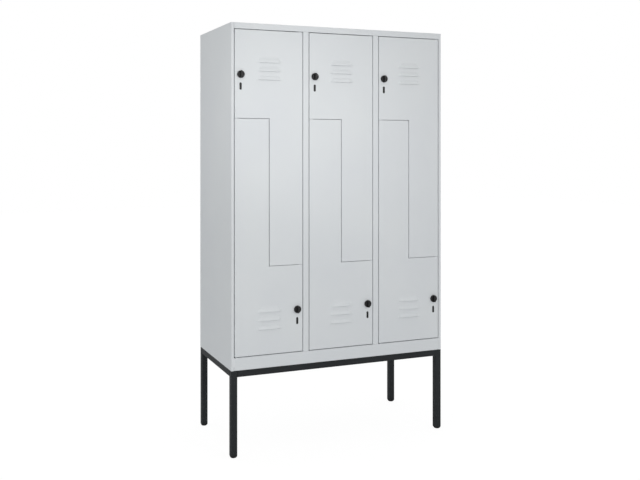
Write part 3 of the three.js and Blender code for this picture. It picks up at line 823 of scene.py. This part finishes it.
def makeKnob(column, level):
    # Base, grip and spindle turn as one piece about the lock's axis
    x, z = doorPlan(column, level)["lock"]
    points, quads = together(knobBase(knobLook), knobGrip(knobLook), knobSpindle(knobLook))
    knob = pieceFrom("knob", (level, column), points + (x, 0.0, z), quads,
                     f"{level}_{column}_latch", "lock_plastic")
    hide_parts(f"lock_knob_{level}_{column}")


for columnName, levelName in doorPlaces:
    makeKnob(columnName, levelName)
print("stage 5: lock knobs")

# Foot plugs: moulded caps with a rounded sole and an insert that stands in the leg's tube

plugLook = {
    "tube": 32.0,
    "wall": 2.0,
    "corner": 3.0,
    "cornerSteps": 6,
    "height": 12.0,
    "rounding": 11.0,
    "roundingSteps": 8,
    "draw": 3.2,
    "soleRound": 0.98,
    "squarePower": 1.5,
    "edge": 0.4,
    "fit": 0.3,
    "insert": 42.0,
    "insertEdge": 1.0,
    "depth": 500.0,
}


def roundedSquare(half, radius, height, steps):
    # Four quarter circles, one at each corner, joined by straight sides
    turn, reach = quarter(steps), half - radius
    corner = np.stack([reach + radius * np.cos(turn), reach + radius * np.sin(turn)], axis=1)
    plan = np.concatenate([corner @ np.array([[math.cos(a), math.sin(a)], [-math.sin(a), math.cos(a)]])
                           for a in np.arange(4) * math.pi / 2])
    return np.column_stack([plan, np.full(len(plan), height)])


def footPlug(look):
    # The sole is a flat disc. Its edge rounds up by a quarter ellipse, while its outline goes from the
    # disc's circle to the tube's square by a power of the height that is left. The insert is a step smaller.
    half, rounding, draw = look["tube"] / 2, look["rounding"], look["draw"]
    shoulder, inside = look["height"] - look["fit"], look["wall"] + look["fit"]
    levels = [(draw - draw * math.sin(a), rounding - rounding * math.cos(a))
              for a in quarter(look["roundingSteps"])]
    levels += [(0.0, shoulder - look["edge"]), (look["edge"], shoulder), (inside, shoulder),
               (inside, look["insert"] - look["insertEdge"]), (inside + look["insertEdge"], look["insert"])]
    outlines = []
    for inset, height in levels:
        size = half - inset
        low = max(0.0, 1.0 - height / rounding) ** look["squarePower"]
        radius = look["corner"] + (size * look["soleRound"] - look["corner"]) * low
        outlines.append(roundedSquare(size, radius, height, look["cornerSteps"]))
    axis = (0.0, 0.0, 1.0)
    return stacked([outlines[0] * axis] + outlines + [outlines[-1] * axis])


def makePlug(end, side):
    # A plug stands under each corner of the stand, with its sole on the floor
    half = plugLook["tube"] / 2
    x = half if side == "left" else bodyLook["columns"]["right"][1] - half
    y = half if end == "front" else plugLook["depth"] - half
    points, quads = footPlug(plugLook)
    plug = pieceFrom("footPlug", (end, side), points + (x, y, -bodyLook["origin"][2]), quads,
                     "carcass", "foot_plastic")
    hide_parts(f"foot_plug_{end}_{side}")


for endName in ("front", "back"):
    for sideName in ("left", "right"):
        makePlug(endName, sideName)
print("stage 6: foot plugs")

# Door pivots: a zinc pin at each end of the door's pivot line, rooted inside the door

pinLook = {
    "inset": 10.0,
    "back": 6.0,
    "radius": 3.0,
    "reach": 7.0,
    "root": 18.0,
    "lugHalf": 0.6,
    "chamfer": 0.5,
    "steps": 28,
}


def pivotPin(low, high, look):
    # A bar with a chamfer at both ends is turned about y and then tipped up, so that y becomes z
    radius, chamfer = look["radius"], look["chamfer"]
    points, quads = turned([(0.0, low), (radius - chamfer, low), (radius, low + chamfer),
                            (radius, high - chamfer), (radius - chamfer, high), (0.0, high)], look["steps"])
    return points[:, [0, 2, 1]] * (1.0, -1.0, 1.0), quads


def makePins(column, level):
    # The outer pin runs into the header or the floor, the inner one into the lug between the doors
    plan = doorPlan(column, level)
    (cornerX, cornerZ), sign = plan["corner"], plan["sign"]
    outer = (cornerZ - sign * pinLook["reach"], cornerZ + sign * pinLook["root"])
    stepEdge = bodyLook["lowerStep" if level == "upper" else "upperStep"]
    inner = (cornerZ + sign * plan["length"] - sign * pinLook["root"], stepEdge + sign * pinLook["lugHalf"])
    points, quads = together(*[pivotPin(min(ends), max(ends), pinLook) for ends in (outer, inner)])
    place = (cornerX + sign * pinLook["inset"], pinLook["back"], 0.0)
    pieceFrom("pins", (level, column), points + place, quads, f"{level}_{column}_door", "zinc_steel")


for columnName, levelName in doorPlaces:
    makePins(columnName, levelName)
print("stage 7: door pivots")

# Coat rails: an oval tube with a rolled flange at each wall, and a moulded hook that slides on it

railLook = {
    "sheet": 1.0,
    "fit": 0.3,
    "drop": 60.0,
    "depth": 250.0,
    "width": 15.0,
    "height": 30.0,
    "wall": 1.5,
    "flange": 2.0,
    "flangeMargin": 6.0,
    "flangeEdge": 0.2,
    "rolled": 0.7,
    "fillet": 1.2,
    "filletMiddle": 0.35,
    "arcSteps": 16,
}

hookLook = {
    "length": 18.0,
    "wall": 4.0,
    "clearance": 0.4,
    "edge": 0.4,
    "rounding": 1.2,
    "neck": 18.0,
    "neckInset": 0.5,
    "neckSwell": ((6.0, 0.0), (4.0, 0.3), (2.6, 0.9), (1.6, 1.9), (0.0, 3.0)),   # height over the arms, swell
    "reach": 24.0,
    "rise": 18.0,
    "bend": 8.0,
    "tipShare": 0.62,
    "tipPower": 1.5,
    "tipAngles": (0.25, 1.45, 6),
    "sectionCorner": 0.55,
    "sectionSteps": 5,
}
roundShare = 0.3         # how far in a rounding's middle lies, as a share of its radius


def ovalOutline(grow, look):
    # Two half circles, above and below, joined by upright sides: points of depth and height
    radius = look["width"] / 2 + grow
    straight = (look["height"] - look["width"]) / 2
    turn = np.linspace(0.0, math.pi, look["arcSteps"] + 1)
    above = np.stack([radius * np.cos(turn), straight + radius * np.sin(turn)], axis=1)
    return np.concatenate([above, -above])


def carriedOval(levels, look):
    # Each level is how far the oval has grown and where it stands along x
    outlines = []
    for grow, x in levels:
        plan = ovalOutline(grow, look)
        outlines.append(np.column_stack([np.full(len(plan), x), plan]))
    return stacked(outlines)


def coatRail(x0, x1, look):
    # Along the bore, out over the flange at one wall, along the tube, and over the other flange back
    margin, edge, flange, rolled = look["flangeMargin"], look["flangeEdge"], look["flange"], look["rolled"]
    fillet, middle, part = look["fillet"], look["filletMiddle"], look["rolled"] * roundShare
    ends = [(-look["wall"], 0.0), (margin - edge, 0.0), (margin, edge), (margin, flange - rolled),
            (margin - part, flange - part), (margin - rolled, flange), (fillet, flange),
            (middle, flange + middle), (0.0, flange + fillet)]
    levels = [(grow, x0 + along) for grow, along in ends]
    levels += [(grow, x1 - along) for grow, along in ends[::-1]] + [(-look["wall"], x0)]
    return carriedOval(levels, look)


def hookStrap(look, rail):
    # The strap goes round the rail. Its outer corners are rounded, and its bore has small chamfers.
    half, inside, edge, rounding = look["length"] / 2, look["clearance"], look["edge"], look["rounding"]
    outside, part = inside + look["wall"], rounding * roundShare
    levels = [(inside, -half + edge), (inside + edge, -half), (outside - rounding, -half),
              (outside - part, -half + part), (outside, -half + rounding), (outside, half - rounding),
              (outside - part, half - part), (outside - rounding, half), (inside + edge, half),
              (inside, half - edge), (inside, -half + edge)]
    return carriedOval(levels, rail)


def carriedFlat(stations, look):
    # A flat section with rounded edges is carried through stations. Each is a place and a direction, as
    # depth and height, then half the width and half the thickness. Both ends close to a point.
    section = roundedSquare(1.0, look["sectionCorner"], 0.0, look["sectionSteps"])[:, :2]
    rows = []
    for (depth, height), way, halfWide, halfThick in stations:
        rows.append(np.column_stack([section[:, 0] * halfWide, depth + way[1] * section[:, 1] * halfThick,
                                     height - way[0] * section[:, 1] * halfThick]))
    first, last = [np.repeat(row.mean(axis=0)[None], len(section), axis=0) for row in (rows[0], rows[-1])]
    return stacked([first] + rows + [last])


def hookNeck(look, bottom):
    # The neck hangs from inside the strap and swells where it meets the arms
    half, thick, low = look["length"] / 2 - look["neckInset"], look["wall"] / 2, bottom - look["neck"]
    heights = [(bottom + thick, 0.0)] + [(low + above, swell) for above, swell in look["neckSwell"]]
    return carriedFlat([((0.0, height), (0.0, -1.0), half, thick + swell) for height, swell in heights], look)


def hookArms(look, bottom):
    # Down from the back tip, round a bend, across under the neck, round the other bend and up to the
    # front tip. The width shrinks towards the tips by a power of the distance from the middle.
    bend, low, reach, rise = look["bend"], bottom - look["neck"], look["reach"], look["rise"]
    half = [(0.0, low), (reach / 3, low)]
    half += [(reach - bend + bend * math.sin(a), low + bend - bend * math.cos(a)) for a in quarter(8)]
    half += [(reach, low + (bend + rise) / 2), (reach, low + rise)]
    path = np.array([(-depth, height) for depth, height in half[:0:-1]] + half)
    travel = np.gradient(path, axis=0)
    travel /= np.linalg.norm(travel, axis=1)[:, None]
    along = np.concatenate([[0.0], np.cumsum(np.linalg.norm(np.diff(path, axis=0), axis=1))])
    share = np.abs(along / along[-1] * 2.0 - 1.0)
    wide = look["length"] / 2 * (1.0 - (1.0 - look["tipShare"]) * share ** look["tipPower"])
    thick = look["wall"] / 2
    stations = [(place, way, size, thick) for place, way, size in zip(path, travel, wide)]
    tip = [(thick * math.sin(a), thick * (1.0 - math.cos(a))) for a in np.linspace(*look["tipAngles"])]
    place, way, size, _ = stations[-1]
    after = [(place + way * step, way, size - inset, thick - inset) for step, inset in tip]
    place, way, size, _ = stations[0]
    before = [(place - way * step, way, size - inset, thick - inset) for step, inset in tip[::-1]]
    return carriedFlat(before + stations + after, look)


def makeRail(column, level):
    # The rail's ends stand off the walls by a small fit. The hook starts in the middle of its rail.
    sheet, gap, half = railLook["sheet"], railLook["fit"], railLook["sheet"] / 2
    left, right = bodyLook["columns"][column]
    wallLeft = left + (sheet if column == "left" else half) + gap
    wallRight = right - (sheet if column == "right" else half) - gap
    if level == "upper":
        x1, ceiling = wallRight, bodyLook["height"] - sheet
    else:
        x1, ceiling = (left + right) / 2 - half - gap, bodyLook["upperStep"] - half
    depth, z = railLook["depth"], ceiling - railLook["drop"]
    points, quads = coatRail(wallLeft, x1, railLook)
    rail = pieceFrom("coatRail", (level, column), points + (0.0, depth, z), quads, "carcass", "zinc_steel")
    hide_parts(f"coat_rail_{level}_{column}")
    bottom = -railLook["height"] / 2 - hookLook["clearance"] - hookLook["wall"]
    points, quads = together(hookStrap(hookLook, railLook), hookNeck(hookLook, bottom),
                             hookArms(hookLook, bottom))
    hook = pieceFrom("coatHook", (level, column), points + ((wallLeft + x1) / 2, depth, z), quads,
                     f"{level}_{column}_hook", "hook_plastic")
    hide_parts(f"coat_hook_{level}_{column}")


for columnName, levelName in doorPlaces:
    makeRail(columnName, levelName)
print("stage 8: coat rails and hooks")

# Lock cases: a moulded box behind the skin, bored for the spindle, with a dark window in the door's slot

caseLook = {
    "halfWidth": 18.0,
    "above": 22.0,
    "below": 80.0,
    "front": 1.5,
    "back": 17.0,
    "corner": 5.0,
    "cornerShrink": 0.6,
    "cornerSteps": 6,
    "rounding": 1.2,
    "roundingSteps": 4,
    "seenDegrees": 4.0,
    "bore": 5.3,
    "collar": 9.7,
    "collarFront": 0.1,
    "boss": 9.0,
    "bossHeight": 0.25,
    "bossEdge": 0.4,
    "window": {"width": 9.0, "height": 33.0, "arcSteps": 12},
    "windowDepth": 1.1,
    "windowFront": 0.1,
    "windowRim": 0.3,
    "neck": 1.2,
    "neckEdge": 0.2,
    "neckRoot": 1.0,
    "screws": (14.0, -30.0, -72.0),
    "screwRadius": 3.4,
    "screwHeight": 1.6,
    "screwRoot": 0.5,
    "screwDome": ((1.0, 0.4), (0.85, 0.8), (0.5, 1.0)),   # shares of the radius and of the height
    "screwRecess": ((1.1, 1.0), (0.9, 0.35), (0.0, 0.35)),   # radius, and share of the height
    "screwSteps": 20,
}


def caseOutline(look, inset):
    # The box's outline, starting at its lower right corner and going round through the four corners
    wide, radius = look["halfWidth"] - inset, look["corner"] - inset * look["cornerShrink"]
    low, high = -look["below"] + inset, look["above"] - inset
    turn = quarter(look["cornerSteps"])
    corners = ((wide - radius, low + radius, -math.pi / 2), (wide - radius, high - radius, 0.0),
               (radius - wide, high - radius, math.pi / 2), (radius - wide, low + radius, math.pi))
    return np.concatenate([np.column_stack([x + radius * np.cos(start + turn),
                                            z + radius * np.sin(start + turn)]) for x, z, start in corners])


def seenSteps(outline, degrees):
    # Each side's count of steps, so that no step is seen under a wider angle from the origin than given
    ahead = np.roll(outline, -1, axis=0)
    cross = outline[:, 0] * ahead[:, 1] - outline[:, 1] * ahead[:, 0]
    angle = np.degrees(np.arctan2(np.abs(cross), (outline * ahead).sum(axis=1)))
    return np.maximum(np.ceil(angle / degrees), 1).astype(int)


def cutSides(outline, steps):
    # Each side of the outline is cut into its own number of equal steps
    index = np.repeat(np.arange(len(outline)), steps)
    share = (np.arange(steps.sum()) - np.repeat(np.cumsum(steps) - steps, steps)) / steps[index]
    return outline[index] + (np.roll(outline, -1, axis=0) - outline)[index] * share[:, None]


def caseBox(look):
    # From the bore's front edge over the front face, the sides and the back face into the bore again
    rounding, front, back = look["rounding"], look["front"], look["back"]
    rim = [(rounding - rounding * math.sin(a), rounding - rounding * math.cos(a))
           for a in quarter(look["roundingSteps"])]
    levels = [(inset, front + depth) for inset, depth in rim]
    levels += [(inset, back - depth) for inset, depth in rim[::-1]]
    steps = seenSteps(caseOutline(look, 0.0), look["seenDegrees"])
    outer = cutSides(caseOutline(look, 0.0), steps)
    circle = outer / np.linalg.norm(outer, axis=1)[:, None]
    top, near = back + look["bossHeight"], look["collarFront"]
    rows = [standing(circle * radius, near) for radius in (look["bore"], look["collar"])]
    rows += [standing(cutSides(caseOutline(look, inset), steps), depth) for inset, depth in levels]
    rows += [standing(circle * radius, depth) for radius, depth in (
        (look["boss"], back), (look["boss"], top), (look["boss"] - look["bossEdge"], top),
        (look["bore"], top), (look["bore"], near))]
    return stacked(rows[::-1])


def caseWindow(look, drop):
    # Up through the slot to just under the door's face, over a thin rim and down into the recessed window.
    # Both ends close to the slot's middle line.
    neck, edge, front, rim = look["neck"], look["neckEdge"], look["windowFront"], look["windowRim"]
    levels = [(neck, look["front"] + look["neckRoot"]), (neck, front + edge), (neck - edge, front),
              (rim, front), (0.0, front + rim), (-rim, look["windowDepth"])]
    rows = [standing(ovalOutline(grow, look["window"]), depth) - (0.0, 0.0, drop) for grow, depth in levels]
    middle = (0.0, 1.0, 1.0)
    return stacked([rows[0] * middle] + rows + [rows[-1] * middle])


def screwHead(look):
    # A domed head with a small round recess, turned from a profile of radius and depth
    radius, height, back = look["screwRadius"], look["screwHeight"], look["back"]
    profile = [(0.0, back - look["screwRoot"]), (radius, back - look["screwRoot"])]
    profile += [(radius * wide, back + height * rise) for wide, rise in look["screwDome"]]
    profile += [(hollow, back + height * rise) for hollow, rise in look["screwRecess"]]
    return turned(profile, look["screwSteps"])


def makeCase(column, level):
    # The case rides on its door, and three screws hold it together from behind
    x, z = doorPlan(column, level)["lock"]
    points, quads = together(caseBox(caseLook), caseWindow(caseLook, lockLook["slotDrop"]))
    case = pieceFrom("lockCase", (level, column), points + (x, 0.0, z), quads,
                     f"{level}_{column}_door", "lock_plastic")
    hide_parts(f"lock_case_{level}_{column}")
    head, faces = screwHead(caseLook)
    points, quads = together(*[(head + (0.0, 0.0, rise), faces) for rise in caseLook["screws"]])
    pieceFrom("caseScrews", (level, column), points + (x, 0.0, z), quads,
              f"{level}_{column}_door", "zinc_steel")


for columnName, levelName in doorPlaces:
    makeCase(columnName, levelName)
print("stage 9: lock cases")
